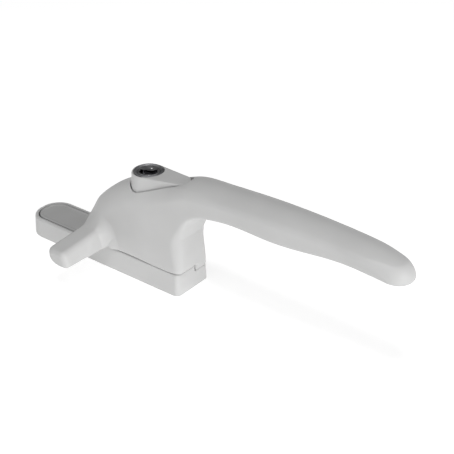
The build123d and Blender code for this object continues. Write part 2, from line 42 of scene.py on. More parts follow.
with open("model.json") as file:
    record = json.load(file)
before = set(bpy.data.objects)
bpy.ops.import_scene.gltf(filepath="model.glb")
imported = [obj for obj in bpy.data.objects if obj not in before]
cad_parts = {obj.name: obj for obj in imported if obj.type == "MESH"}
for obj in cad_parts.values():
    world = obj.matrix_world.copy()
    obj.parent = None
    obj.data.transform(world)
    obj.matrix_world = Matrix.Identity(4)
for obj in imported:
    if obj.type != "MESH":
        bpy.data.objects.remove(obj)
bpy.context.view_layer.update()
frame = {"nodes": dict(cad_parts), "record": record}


# ---- sizes, from the frame where it gives them ----------------------------------------------------
def box_mm(node):
    """A CAD node's two corners in millimetres."""
    low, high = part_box(node)
    return np.array(low) / MM, np.array(high) / MM


base_low, base_high = box_mm("base_plate")
lever_low, lever_high = box_mm("handle_lever")
button_low, button_high = box_mm("push_button")
cap_low, cap_high = box_mm("screw_cap")
ring_low, ring_high = box_mm("trim_ring")
barrel_low, barrel_high = box_mm("lock_barrel")
pin_low, pin_high = box_mm("pivot_pin")
guide_pin_low, guide_pin_high = box_mm("guide_pin")
guide_low, guide_high = box_mm("guide_plate")
catch_low, catch_high = box_mm("snap_catch")

# base plate
BASE_HALF = base_high[0]
BASE_HALF_WIDTH = base_high[1]
SEAT_Z = base_high[2]
RIM_Z = SEAT_Z - 0.8        # top of the plate away from its raised seat
DRAFT = math.tan(math.radians(3.3))
LEFT_ROUND = 7.9
RIGHT_ROUND = 2.0
RIM_WIDTH = 1.7
RECESS_FLOOR = 4.6
RECESS_RIGHT_X = -12.0
RECESS_CORNER = 1.2
RECESS_EDGE = 0.3
CAP_GAP = 0.5
CAP_PANEL = 0.3             # how far the cap's middle is sunk inside its border
SCREW_X = 29.0
BOLT_HOLE_R = 2.8
LUG_TOP_Z = 5.95            # seat level under the handle's stop lug
LUG_SPLIT_X = 20.0
LUG_SPLIT_Y = 1.35
LUG_SPLIT_R = 34.05
STEP_EDGE = 0.2
RIM_ROUND = 0.8
SEAT_ROUND = 0.7
SEAM_ROUND = 0.3            # seat's rounding where its seam with the boss is nearly closed

# lock and button
LOCK_X = (ring_low[0] + ring_high[0]) / 2
RING_R = (ring_high[0] - ring_low[0]) / 2
BARREL_R = (barrel_high[0] - barrel_low[0]) / 2
BUTTON_R = LOCK_X - button_low[0]
TAIL_R = 3.9
TAIL_X = button_high[0] - TAIL_R
TOP_SLOPE = 0.065           # how fast the button's top rises past the lock
BUTTON_TOP = ring_high[2] - 0.3
SKIRT_Z = button_low[2]
PRESS = 4.0
CATCH_THROW = 1.2
PIVOT_R = (pin_high[0] - pin_low[0]) / 2
PLATE_DEPTH = 5.6           # height of the button's teardrop part
BUTTON_ROUND = 0.6
BUTTON_DRAFT = 0.05         # how fast the button's wall spreads downwards
DRAFT_DEPTH = 6.0
RING_GAP = 0.2
RING_SEAT_EDGE = 0.12
WELL_GAP = 0.3 + BUTTON_DRAFT * DRAFT_DEPTH
WELL_TAIL_ROOM = 0.7        # how much longer the well is than the button
WELL_RIM = 0.6              # rounding of the well's rim about the lock
WELL_TAIL_RIM = 0.3
RIM_TO_TAIL = (26, 34)      # where one changes into the other, X
UNDER_ROOM = 0.4            # free depth under the pressed button

# handle
HANDLE_Z = 8.5
HALF_WIDTH = 8.2
BOSS_END = 38.3
LEVER_DRAFT = 0.011         # how fast the casting narrows upwards
LEVER_DRAFT_HEIGHT = 30.0
FOOT_ROUND = 0.9
FOOT_SEAM_ROUND = 0.4       # the same where the seam with the base is nearly closed
EDGE_CUT = 0.15             # rounding of bored and milled edges
TIP_X = lever_high[0]
NOSE_TIP_Y = lever_low[1]
LUG_Z = lever_low[2]
LUG_X = 34.3
LUG_Y = 1.6


# ---- signed distances: negative inside ------------------------------------------------------------
def ease(v, start, end):
    """0 before start, 1 after end, smooth between."""
    t = np.clip((v - start) / (end - start), 0, 1)
    return t * t * (3 - 2 * t)


def mix(a, b, t):
    return a + (b - a) * t


def both(a, b, r):
    """What two shapes share, its edge rounded to radius r."""
    return np.minimum(np.maximum(a, b), -r) + np.hypot(np.maximum(a + r, 0), np.maximum(b + r, 0))


def either(a, b, r):
    """Two shapes joined, the corner between them filled to radius r."""
    return -both(-a, -b, r)


def without(a, b, r):
    """Shape a cut by shape b, the rim rounded to radius r."""
    return both(a, -b, r)


def slab(v, low, high):
    return np.maximum(low - v, v - high)


def disc(x, y, cx, cy, r):
    return np.hypot(x - cx, y - cy) - r


def round_box(x, y, cx, cy, half_x, half_y, r):
    """Rounded rectangle in plan. The radius may differ from place to place."""
    qx = np.abs(x - cx) - half_x + r
    qy = np.abs(y - cy) - half_y + r
    inner = np.minimum(np.maximum(qx, qy), 0)
    return inner + np.hypot(np.maximum(qx, 0), np.maximum(qy, 0)) - r


def teardrop(x, y, grow):
    """Plan of the push button: a circle about the lock and a smaller one at its tail."""
    big = BUTTON_R + grow
    small = TAIL_R + grow
    gap = TAIL_X - LOCK_X
    along = x - LOCK_X
    across = np.abs(y)
    lean = (BUTTON_R - TAIL_R) / gap
    flat = math.sqrt(1 - lean * lean)
    place = flat * along - lean * across
    side = lean * along + flat * across - big
    head = np.hypot(along, across) - big
    tail = np.hypot(along - gap, across) - small
    return np.where(place < 0, head, np.where(place > flat * gap, tail, side))


def smooth_path(points, per_span=10):
    """Natural cubic curve through the points."""
    points = np.array(points, float)
    count = len(points)
    at = np.concatenate([[0], np.cumsum(np.linalg.norm(np.diff(points, axis=0), axis=1))])
    gap = np.diff(at)[:, None]
    slope = np.diff(points, axis=0) / gap
    matrix = np.eye(count)
    wanted = np.zeros_like(points)
    for i in range(1, count - 1):
        matrix[i, i - 1:i + 2] = gap[i - 1, 0], 2 * (gap[i - 1, 0] + gap[i, 0]), gap[i, 0]
        wanted[i] = 6 * (slope[i] - slope[i - 1])
    bend = np.linalg.solve(matrix, wanted)
    spans = []
    for i in range(count - 1):
        left = np.linspace(0, gap[i, 0], per_span, endpoint=False)[:, None]
        right = gap[i, 0] - left
        cubic = (bend[i + 1] * left ** 3 + bend[i] * right ** 3) / (6 * gap[i, 0])
        end = (points[i + 1] / gap[i, 0] - bend[i + 1] * gap[i, 0] / 6) * left
        start = (points[i] / gap[i, 0] - bend[i] * gap[i, 0] / 6) * right
        spans.append(cubic + end + start)
    return np.vstack(spans + [points[-1:]])


class Outline:
    """Signed distance to a closed flat outline, kept on a fine grid and looked up between its points."""

    STEP = 0.2

    def __init__(self, path, low, high):
        self.low = np.array(low, float)
        size = np.ceil((np.array(high) - self.low) / self.STEP).astype(int) + 1
        u = self.low[0] + self.STEP * np.arange(size[0])[:, None]
        v = self.low[1] + self.STEP * np.arange(size[1])[None, :]
        nearest = np.full(size, 1e9)
        inside = np.zeros(size, bool)
        for a, b in zip(path, np.roll(path, -1, axis=0)):
            run = b - a
            length = run @ run
            if length < 1e-12:
                continue
            t = np.clip(((u - a[0]) * run[0] + (v - a[1]) * run[1]) / length, 0, 1)
            away = (u - a[0] - t * run[0]) ** 2 + (v - a[1] - t * run[1]) ** 2
            nearest = np.minimum(nearest, away)
            if a[1] != b[1]:
                crossing = a[0] + (v - a[1]) * run[0] / run[1]
                inside ^= ((a[1] > v) != (b[1] > v)) & (u < crossing)
        self.grid = np.sqrt(nearest) * np.where(inside, -1, 1)

    def __call__(self, u, v):
        u, v = np.broadcast_arrays(u, v)
        fu = np.clip((u - self.low[0]) / self.STEP, 0, self.grid.shape[0] - 1.001)
        fv = np.clip((v - self.low[1]) / self.STEP, 0, self.grid.shape[1] - 1.001)
        iu = fu.astype(np.int32)
        iv = fv.astype(np.int32)
        fu = fu - iu
        fv = fv - iv
        near = self.grid[iu, iv] * (1 - fv) + self.grid[iu, iv + 1] * fv
        far = self.grid[iu + 1, iv] * (1 - fv) + self.grid[iu + 1, iv + 1] * fv
        return near * (1 - fu) + far * fu


# ---- from distances to a mesh ---------------------------------------------------------------------
CORNERS = [(i, j, k) for i in (0, 1) for j in (0, 1) for k in (0, 1)]


def slope_of(field, points):
    """Gradient of the field at the points."""
    reach = 0.02
    slope = np.empty_like(points)
    for axis in range(3):
        step = np.zeros(3)
        step[axis] = reach
        ahead = field(*(points + step).T)
        behind = field(*(points - step).T)
        slope[:, axis] = (ahead - behind) / (2 * reach)
    return slope


def make_object(name, points, faces):
    """Smooth-shaded object from points in millimetres."""
    mesh = bpy.data.meshes.new(name)
    mesh.from_pydata((points * MM).tolist(), [], faces)
    mesh.validate()
    mesh.polygons.foreach_set("use_smooth", [True] * len(mesh.polygons))
    mesh.update()
    piece = bpy.data.objects.new(name, mesh)
    bpy.context.scene.collection.objects.link(piece)
    return piece


def skin(name, field, low, high, step):
    """Closed quad mesh on a field's surface: one vertex for each crossed cell, pulled onto the surface."""
    axes = [np.arange(a - 1.5 * step, b + 2.5 * step, step) for a, b in zip(low, high)]
    values = np.concatenate([
        np.broadcast_to(field(x[:, None, None], axes[1][None, :, None], axes[2][None, None, :]),
                        (len(x), len(axes[1]), len(axes[2]))).astype(np.float32)
        for x in np.array_split(axes[0], max(1, len(axes[0]) // 40))])
    inside = values < 0
    cells = tuple(n - 1 for n in values.shape)
    count = np.zeros(cells, np.int8)
    for i, j, k in CORNERS:
        count += inside[i:i + cells[0], j:j + cells[1], k:k + cells[2]]
    place = np.argwhere((count > 0) & (count < 8))
    number = np.full(cells, -1, np.int32)
    number[tuple(place.T)] = np.arange(len(place))

    total = np.zeros((len(place), 3))
    crossed = np.zeros(len(place))
    for start in CORNERS:
        for axis in range(3):
            if start[axis]:
                continue
            end = list(start)
            end[axis] = 1
            a = values[tuple((place + start).T)]
            b = values[tuple((place + end).T)]
            cut = (a < 0) != (b < 0)
            share = np.where(cut, a / np.where(cut, a - b, 1), 0)
            point = place + np.array(start, float)
            point[:, axis] += share
            total += point * cut[:, None]
            crossed += cut
    points = total / crossed[:, None] * step + np.array([a[0] for a in axes])
    for _ in range(3):
        slope = slope_of(field, points)
        size = np.maximum((slope ** 2).sum(axis=1), 0.05)
        move = field(*points.T) / size
        points = points - slope * np.clip(move, -0.6 * step, 0.6 * step)[:, None]

    quads = []
    for axis in range(3):
        first, second = [d for d in range(3) if d != axis]
        low_side = [slice(1, -1)] * 3
        high_side = [slice(1, -1)] * 3
        low_side[axis] = slice(0, -1)
        high_side[axis] = slice(1, None)
        a = inside[tuple(low_side)]
        b = inside[tuple(high_side)]
        flip = axis == 1
        for grows, mask in ((True, a & ~b), (False, ~a & b)):
            edge = np.argwhere(mask)
            edge[:, first] += 1
            edge[:, second] += 1
            ring = []
            for back_first, back_second in ((1, 1), (0, 1), (0, 0), (1, 0)):
                cell = edge.copy()
                cell[:, first] -= back_first
                cell[:, second] -= back_second
                ring.append(number[tuple(cell.T)])
            if grows == flip:
                ring.reverse()
            quads.append(np.stack(ring, axis=1))
    return make_object(name, points, np.concatenate(quads).tolist())


def mesh_cell(size):
    return size


# ---- handle casting -------------------------------------------------------------------------------
FAR = 20.0                                  # far enough to be outside the handle
CREST_LEFT_X = -10.0                        # left end of the crest line
SIDE_VIEW = ((-14, 0), (TIP_X + 5, 52))     # corners of the looked-up area, XZ
TOP_VIEW = ((-14, -12), (TIP_X + 5, 12))    # the same, XY
TIP_ROUND = (6.5, 6.7)                      # half axes of the lever's round tip


def handle_crest():
    """Metal below the crest line, in XZ."""
    dome = [(CREST_LEFT_X, 4.0), (-8.4, 15.5), (-4.6, 22.6), (2.3, 29.4), (7.5, 33.1), (12.5, 35.8)]
    button = [(18.0, 38.5), (24.0, 39.3), (30.0, 40.1), (33.5, 40.95), (36.8, 42.1), (40.0, 42.9)]
    lever = [(44.0, 43.3), (52.0, 43.65), (66.0, 44.1), (82.0, 44.0), (98.0, 43.2), (112.0, 41.6)]
    line = smooth_path(dome + button + lever + [(TIP_X + 4, 38.0)])
    ends = [(TIP_X + FAR, 39.0), (TIP_X + FAR, -FAR), (CREST_LEFT_X - 1, -FAR)]
    return Outline(np.vstack([line, ends]), *SIDE_VIEW)


def handle_hollow():
    """Free space under the lever and past the boss's end, in XZ."""
    line = smooth_path([(BOSS_END + 1.3, 26.8), (42.6, 31.4), (50.0, 34.4), (62.0, 35.5), (74.0, 34.9),
                        (86.0, 35.4), (100.0, 36.4), (112.0, 35.5), (TIP_X + 4, 34.0)])
    ends = [(TIP_X + FAR, 34.0), (TIP_X + FAR, -FAR), (BOSS_END, -FAR), (BOSS_END, 22.0)]
    return Outline(np.vstack([line, ends]), *SIDE_VIEW)


def handle_plan():
    """Plan of the boss and lever, without the nose."""
    flank = smooth_path([(40.0, HALF_WIDTH), (58.0, 8.1), (80.0, 7.7), (100.0, 7.15), (112.0, 6.75)])
    turn = np.radians(np.linspace(86, 0, 16))
    long, wide = TIP_ROUND
    tip = np.stack([TIP_X - long + long * np.cos(turn), wide * np.sin(turn)], axis=1)
    upper = np.vstack([flank, tip])
    around = np.radians(np.linspace(90, 270, 49))
    left = HALF_WIDTH * np.stack([np.cos(around), np.sin(around)], axis=1)
    lower = upper[::-1] * (1, -1)
    return Outline(np.vstack([left[::-1], upper, lower[1:]])[::-1], *TOP_VIEW)


crest = handle_crest()
hollow = handle_hollow()
plan = handle_plan()

NOSE_TOP = 14.7
NOSE_LOW = 9.1
NOSE_HALF = 4.3
NOSE_ROOT_Y = 2.0           # where it ends inside the boss
NOSE_DRAFT = 0.27           # how fast the nose's right side spreads downwards
NOSE_TAPER = 0.02           # how fast its left side closes in towards the tip
NOSE_TAPER_Y = -12.0        # where it is NOSE_HALF from the nose's middle
NOSE_RISE = 0.07            # slope of its top, up towards the boss
RIGHT_CORNER = 2.0          # corners of its tip
LEFT_CORNER = 2.8
NOSE_TOP_ROUND = 1.6
BELLY_LEFT = 3.2            # rounding of its lower long edges
BELLY_RIGHT = 0.7
BELLY_SPAN = (-3.5, 2)      # where one changes into the other, X
NOSE_FILLET = 5.4           # between nose and boss
NOSE_STEP_Y = -8.9          # where the underside steps from the boss's level to the nose's
FLARE = (5.7, 7.7)          # where the nose flares into the boss, X
ROOT_LIFT = 3.0             # how much higher the underside is past the flare


def nose_field(x, y, z):
    """Cockspur nose, taken straight down as far as need be."""
    right = x - NOSE_HALF - NOSE_DRAFT * (NOSE_TOP - z)
    left = -x - NOSE_HALF + NOSE_TAPER * (NOSE_TAPER_Y - y)
    sides = both(both(right, NOSE_TIP_Y - y, RIGHT_CORNER), left, LEFT_CORNER)
    rise = NOSE_TOP + NOSE_RISE * np.maximum(y - NOSE_TIP_Y, 0)
    body = both(np.maximum(sides, y - NOSE_ROOT_Y), z - rise, NOSE_TOP_ROUND)
    belly = mix(BELLY_LEFT, BELLY_RIGHT, ease(x, *BELLY_SPAN))
    return both(body, NOSE_LOW - z, belly)


DOME_CROWN = 9.0            # radius of the top's roundness across
BUTTON_CROWN = 16.0
LEVER_CROWN = 12.5
DOME_TO_BUTTON = (22, 34)   # where it changes, X
BUTTON_TO_LEVER = (38, 52)
DOME_EDGE = 4.8             # rounding of the top's long edges
LEVER_EDGE = 1.2
TIP_EDGE = 4.2
EDGES_SHARPEN = (20, 56)    # where it changes, X
EDGES_SOFTEN = (106, 122)
FOOT_CORNER = 2.6           # rounding of the boss's right end, from its foot upwards
MIDDLE_CORNER = 4.2
UNDER_CORNER = 1.3          # the same on the lever's underside
CORNER_WIDENS = (HANDLE_Z, 20)      # where it changes, Z
CORNER_NARROWS = (18, 31)


def lever_field(x, y, z):
    """Boss and lever before the nose is joined."""
    crown = mix(DOME_CROWN, BUTTON_CROWN, ease(x, *DOME_TO_BUTTON))
    crown = mix(crown, LEVER_CROWN, ease(x, *BUTTON_TO_LEVER))
    top = crest(x, z + y * y / (2 * crown))
    side = plan(x, y) + LEVER_DRAFT * np.clip(z - HANDLE_Z, 0, LEVER_DRAFT_HEIGHT)
    edge = mix(mix(DOME_EDGE, LEVER_EDGE, ease(x, *EDGES_SHARPEN)), TIP_EDGE, ease(x, *EDGES_SOFTEN))
    body = both(top, side, edge)
    corner = mix(FOOT_CORNER, MIDDLE_CORNER, ease(z, *CORNER_WIDENS))
    corner = mix(corner, UNDER_CORNER, ease(z, *CORNER_NARROWS))
    return both(body, -hollow(x, z), corner)


def well_field(x, y, z):
    """Well that the button moves in, with the round bore under it."""
    floor = BUTTON_TOP - PLATE_DEPTH - PRESS - UNDER_ROOM
    tail = disc(x, y, TAIL_X + WELL_TAIL_ROOM, 0, TAIL_R + WELL_GAP)
    upper = np.maximum(np.minimum(teardrop(x, y, WELL_GAP), tail), floor - z)
    lower = np.maximum(disc(x, y, LOCK_X, 0, BUTTON_R + WELL_GAP), SKIRT_Z - PRESS - UNDER_ROOM - z)
    return np.minimum(upper, lower)


PIN_BORE_TOP = pin_high[2]
BARREL_BORE_R = BARREL_R + 0.3
PLATE_SCREW_X = (11.6, 28.6)
PLATE_SCREW_R = 1.0
PLATE_SCREW_TOP = 14.2
PLATE_FIT = 0.05            # free space round the guide plate
GUIDE_PIN_R = 0.9
PIN_HOLE_Y = 4.0            # where the guide pin's hole starts, inside the barrel bore
CATCH_ROOM = 0.5            # free space round the snap catch


def catch_pocket(x, y, z):
    """Sloping room beside the barrel bore that the snap catch moves out into as the button goes down."""
    share = np.clip((catch_high[2] + CATCH_ROOM - z) / PRESS, 0, 1)
    reach = catch_low[0] - CATCH_ROOM - CATCH_THROW * share - x
    across = np.abs(y) - catch_high[1] - 0.3
    height = slab(z, catch_low[2] - PRESS - CATCH_ROOM, catch_high[2] + CATCH_ROOM)
    return np.maximum(np.maximum(reach, x - catch_high[0]), np.maximum(across, height))


def handle_holes(x, y, z):
    """Bores and the guide plate's seat in the boss's underside, and the guide pin's hole."""
    holes = np.maximum(disc(x, y, 0, 0, PIVOT_R), z - PIN_BORE_TOP)
    holes = np.minimum(holes, np.maximum(disc(x, y, LOCK_X, 0, BARREL_BORE_R), z - SKIRT_Z))
    middle = (guide_low[0] + guide_high[0]) / 2
    half_length = (guide_high[0] - guide_low[0]) / 2 + PLATE_FIT
    half_width = guide_high[1] + PLATE_FIT
    seat = round_box(x, y, middle, 0, half_length, half_width, half_width)
    holes = np.minimum(holes, np.maximum(seat, z - guide_high[2]))
    holes = np.minimum(holes, catch_pocket(x, y, z))
    for at in PLATE_SCREW_X:
        holes = np.minimum(holes, np.maximum(disc(x, y, at, 0, PLATE_SCREW_R), z - PLATE_SCREW_TOP))
    pin_hole = np.hypot(x - LOCK_X, z - (guide_pin_low[2] + guide_pin_high[2]) / 2) - GUIDE_PIN_R
    return np.minimum(holes, np.maximum(pin_hole, PIN_HOLE_Y - y))


SEAM_CLOSES = (18, 27)      # X
SEAM_OPENS = (33, 36)


def tight_seam(x):
    """1 where the seam between boss and base is nearly closed, towards its right end, otherwise 0."""
    return ease(x, *SEAM_CLOSES) - ease(x, *SEAM_OPENS)


def handle_field(x, y, z):
    """The whole casting: lever, boss and nose on their foot, with the well and the bores."""
    body = either(lever_field(x, y, z), nose_field(x, y, z), NOSE_FILLET)
    lug = np.maximum(LUG_X - x, LUG_Y - y)
    foot = np.minimum(HANDLE_Z - z, np.maximum(LUG_Z - z, lug))
    nose_foot = np.minimum(NOSE_LOW + ROOT_LIFT * ease(x, *FLARE) - z, NOSE_STEP_Y - y)
    foot = np.maximum(foot, nose_foot)
    body = both(body, foot, mix(FOOT_ROUND, FOOT_SEAM_ROUND, tight_seam(x)))
    rim = mix(WELL_RIM, WELL_TAIL_RIM, ease(x, *RIM_TO_TAIL))
    body = without(body, well_field(x, y, z), rim)
    return without(body, handle_holes(x, y, z), EDGE_CUT)


def make_handle():
    piece = skin("handle_casting", handle_field, lever_low - 0.5, lever_high + 0.5, mesh_cell(0.36))
    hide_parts("handle_lever")
    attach(piece, "handle")
    return piece


# ---- base plate -----------------------------------------------------------------------------------
SCREW_HOLE_R = 2.3
SCREW_HEAD_R = 4.1
HEAD_CONE_LOW = 2.8
HEAD_CONE_HIGH = 4.6
BUSH_R = 5.4
FLANGE_R = 7.2
FLANGE_LOW = 7.8
UNDER_RECESS_R = 6.2
UNDER_RECESS_TOP = 3.9
STOP_SECTOR_R = 7.6
STOP_SECTOR_MIDDLE = math.radians(45)
STOP_SECTOR_HALF = math.radians(58.5)
POCKETS = ((-16.75, 6.25), (12.0, 2.6))     # middle and half length of each underside pocket
POCKET_HALF_WIDTH = 6.0
POCKET_CORNER = 1.2
POCKET_TOP = 2.0
LEG_X = (-34.0, -16.0)
LEG_Y = 3.4
LEG_HALF = (0.35, 0.7)
LEG_LOW = 2.7
LEG_GAP = 0.3


def screw_hole(x, y, z, at):
    """Countersunk hole: narrow, then the cone, then as wide as the screw's head."""
    share = np.clip((z - HEAD_CONE_LOW) / (HEAD_CONE_HIGH - HEAD_CONE_LOW), 0, 1)
    return disc(x, y, at, 0, mix(SCREW_HOLE_R, SCREW_HEAD_R, share))


def stop_sector(x, y):
    """Pie-shaped room that the stop washer's ear swings in."""
    u = x * math.cos(STOP_SECTOR_MIDDLE) + y * math.sin(STOP_SECTOR_MIDDLE)
    v = np.abs(y * math.cos(STOP_SECTOR_MIDDLE) - x * math.sin(STOP_SECTOR_MIDDLE))
    side = v * math.cos(STOP_SECTOR_HALF) - u * math.sin(STOP_SECTOR_HALF)
    return np.maximum(disc(x, y, 0, 0, STOP_SECTOR_R), side)


def leg_slots(x, y, z, grow):
    """The cap's four legs, or with room round them the holes that they snap into."""
    far_apart = np.minimum(np.abs(x - LEG_X[0]), np.abs(x - LEG_X[1])) - LEG_HALF[0] - grow
    across = np.abs(np.abs(y) - LEG_Y) - LEG_HALF[1] - grow
    return np.maximum(np.maximum(far_apart, across), slab(z, LEG_LOW - grow, RECESS_FLOOR + 0.5))


def base_holes(x, y, z):
    """Everything cut into the base plate but the cap's recess and the lug's step."""
    holes = np.minimum(screw_hole(x, y, z, -SCREW_X), screw_hole(x, y, z, SCREW_X))
    holes = np.minimum(holes, disc(x, y, LOCK_X, 0, BOLT_HOLE_R))
    holes = np.minimum(holes, disc(x, y, 0, 0, BUSH_R))
    holes = np.minimum(holes, np.maximum(disc(x, y, 0, 0, FLANGE_R), FLANGE_LOW - z))
    under = np.minimum(disc(x, y, 0, 0, UNDER_RECESS_R), stop_sector(x, y))
    holes = np.minimum(holes, np.maximum(under, z - UNDER_RECESS_TOP))
    for middle, half_length in POCKETS:
        pocket = round_box(x, y, middle, 0, half_length, POCKET_HALF_WIDTH, POCKET_CORNER)
        holes = np.minimum(holes, np.maximum(pocket, z - POCKET_TOP))
    return np.minimum(holes, leg_slots(x, y, z, LEG_GAP))


def base_outline(x, y, inset):
    """Plan of the base plate: nearly round at the left, small corners at the right."""
    half_x = BASE_HALF - inset
    half_y = BASE_HALF_WIDTH - inset
    corner = np.where(x < 0, LEFT_ROUND - inset, np.maximum(RIGHT_ROUND - inset, 0.4))
    return round_box(x, y, 0, 0, half_x, half_y, corner)


def base_field(x, y, z):
    """Drafted plate with a raised seat, the cap's recess, the lug's step and its holes."""
    side = base_outline(x, y, z * DRAFT)
    rim = both(side, z - RIM_Z, RIM_ROUND)
    seat_zone = np.minimum(disc(x, y, 0, 0, BASE_HALF_WIDTH - 0.1), -x)
    seat = both(np.maximum(side, seat_zone), z - SEAT_Z, mix(SEAT_ROUND, SEAM_ROUND, tight_seam(x)))
    body = np.minimum(rim, seat)
    recess_plan = both(base_outline(x, y, RIM_WIDTH), x - RECESS_RIGHT_X, RECESS_CORNER)
    body = without(body, np.maximum(recess_plan, RECESS_FLOOR - z), RECESS_EDGE)
    step = np.maximum(np.maximum(LUG_SPLIT_X - x, LUG_SPLIT_Y - y), LUG_TOP_Z - z)
    body = without(body, np.maximum(step, -disc(x, y, 0, 0, LUG_SPLIT_R)), STEP_EDGE)
    return without(np.maximum(body, -z), base_holes(x, y, z), EDGE_CUT)


def make_base():
    piece = skin("base_casting", base_field, base_low - 0.5, base_high + 0.5, mesh_cell(0.3))
    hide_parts("base_plate")
    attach(piece, "base")
    return piece


# ---- screw cap ------------------------------------------------------------------------------------
CAP_WALL = 1.0
CAP_ROOF = 1.3
CAP_EDGE = 0.5
CAP_BORDER = 0.7            # width of the border round the sunk middle
CAP_BORDER_SLOPE = 0.6
LEG_ROOT = 0.4              # how much thicker the legs are inside the cap


def cap_field(x, y, z):
    """Lid with a sunk middle, hollow below but for the roots of its legs."""
    outline = base_outline(x, y, RIM_WIDTH + CAP_GAP)
    side = both(outline, x - (RECESS_RIGHT_X - CAP_GAP), RECESS_CORNER - 0.1)
    sunk = CAP_PANEL * ease(-side, CAP_BORDER, CAP_BORDER + CAP_BORDER_SLOPE)
    body = both(side, z + sunk - cap_high[2], CAP_EDGE)
    body = np.maximum(body, RECESS_FLOOR + 0.1 - z)
    inside = np.maximum(side + CAP_WALL, z - (cap_high[2] - CAP_ROOF))
    inside = np.maximum(inside, -leg_slots(x, y, RECESS_FLOOR, LEG_ROOT))
    body = without(body, inside, 0.2)
    return np.minimum(body, leg_slots(x, y, z, 0.0))


def make_cap():
    piece = skin("screw_cap_moulding", cap_field, cap_low - 0.4, cap_high + 0.4, mesh_cell(0.24))
    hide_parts("screw_cap")
    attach(piece, "cap")
    return piece


# ---- push button ----------------------------------------------------------------------------------
def button_field(x, y, z):
    """Teardrop plate on a round skirt, with a seat for the ring and a bore for the barrel."""
    rise = TOP_SLOPE * np.maximum(x - LOCK_X, 0)
    spread = BUTTON_DRAFT * np.clip(BUTTON_TOP - z, 0, DRAFT_DEPTH)
    plate = both(teardrop(x, y, spread), z - BUTTON_TOP - rise, BUTTON_ROUND)
    plate = np.maximum(plate, BUTTON_TOP - PLATE_DEPTH - z)
    skirt = np.maximum(disc(x, y, LOCK_X, 0, BUTTON_R + spread), slab(z, SKIRT_Z, BUTTON_TOP - 2))
    body = np.minimum(plate, skirt)
    seat = np.maximum(disc(x, y, LOCK_X, 0, RING_R + RING_GAP), ring_low[2] - z)
    body = without(body, seat, RING_SEAT_EDGE)
    return np.maximum(body, -disc(x, y, LOCK_X, 0, BARREL_R))


def make_button():
    piece = skin("button_cover", button_field, button_low - 0.4, button_high + 0.4, mesh_cell(0.2))
    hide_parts("push_button")
    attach(piece, "button")
    return piece


# ---- return spring --------------------------------------------------------------------------------
SPRING_R = 3.4
WIRE_R = 0.3
SPRING_TURNS = 6.0
CLOSED_TURNS = 1.0          # turns that lie flat at each end
SPRING_STEPS = 36           # to a turn
WIRE_SIDES = 12
GROUND_GAP = 0.02           # between a ground end and what it presses on


def spring_heights(turns):
    """Height of the wire's middle, with closed turns at both ends of the coil."""
    low = guide_high[2] + WIRE_R * 0.6
    high = barrel_low[2] - WIRE_R * 0.6
    end_rise = 2 * WIRE_R * CLOSED_TURNS
    at = [0, CLOSED_TURNS, SPRING_TURNS - CLOSED_TURNS, SPRING_TURNS]
    return np.interp(turns, at, [low, low + end_rise, high - end_rise, high])


def make_spring():
    """Compression coil with closed, ground ends."""
    turns = np.linspace(0, SPRING_TURNS, int(SPRING_TURNS * SPRING_STEPS) + 1)
    angle = 2 * np.pi * turns
    middle = spring_heights(turns)
    sides = WIRE_SIDES
    around = 2 * np.pi * np.arange(sides) / sides
    radius = SPRING_R + WIRE_R * np.cos(around)[None, :]
    x = LOCK_X + radius * np.cos(angle)[:, None]
    y = radius * np.sin(angle)[:, None]
    z = middle[:, None] + WIRE_R * np.sin(around)[None, :]
    z = np.clip(z, guide_high[2] + GROUND_GAP, barrel_low[2] - GROUND_GAP)
    points = np.stack(np.broadcast_arrays(x, y, z), axis=-1).reshape(-1, 3)
    faces = []
    for ring in range(len(turns) - 1):
        for side in range(sides):
            a = ring * sides + side
            b = ring * sides + (side + 1) % sides
            faces.append((a, a + sides, b + sides, b))
    faces.append(tuple(range(sides)))
    faces.append(tuple(range(len(points) - 1, len(points) - 1 - sides, -1)))
    piece = make_object("return_coil", points, faces)
    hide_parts("return_spring")
    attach(piece, "handle")
    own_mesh(piece)
    return piece


